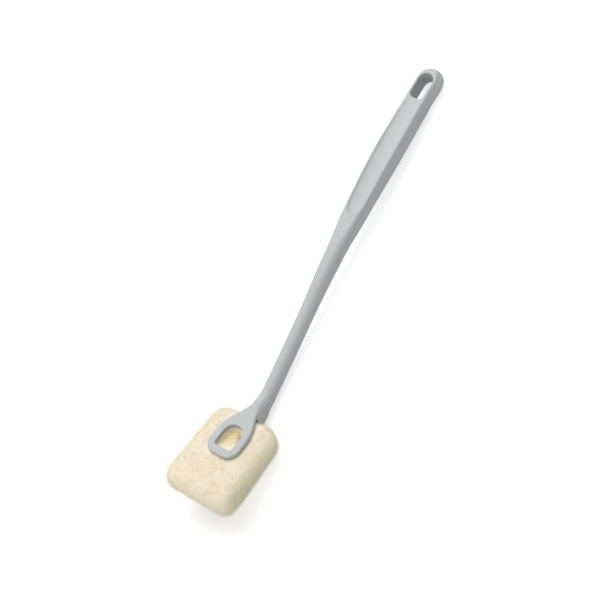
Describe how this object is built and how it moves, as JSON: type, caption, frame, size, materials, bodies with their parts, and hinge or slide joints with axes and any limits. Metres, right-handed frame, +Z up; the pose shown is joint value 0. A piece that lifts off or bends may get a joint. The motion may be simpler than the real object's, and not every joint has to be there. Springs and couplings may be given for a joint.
{
  "type": "toilet brush",
  "caption": "Long-handled toilet brush: a sewn rectangular fibre pad pulls off a flat tongue under a D-shaped ring, and the grip's end has a hanging hole.",
  "frame": {"origin": "on the floor, under the middle of the brush's length and width, with the brush lying on its back", "axes": "+Y towards the hanging end, +Z up out of the floor and out of the ring's front, +X across the brush"},
  "size_m": [0.0634, 0.397, 0.0459],
  "materials": {
    "handle_plastic": "satin",
    "pad_felt": "fuzzy needled fibre felt",
    "pad_side_felt": "fuzzy needled fibre felt",
    "pad_foam": "open-cell foam"
  },
  "bodies": {
    "handle": {"handle": "handle_plastic"},
    "pad": {"pad_wrap": "pad_felt", "pad_side_left": "pad_side_felt", "pad_side_right": "pad_side_felt", "pad_core": "pad_foam"}
  },
  "joints": [
    {"name": "pad_slide", "type": "slide", "parent": "handle", "child": "pad", "axis": [0, -0.918, 0.3965], "range_m": [0, 0.05]}
  ]
}
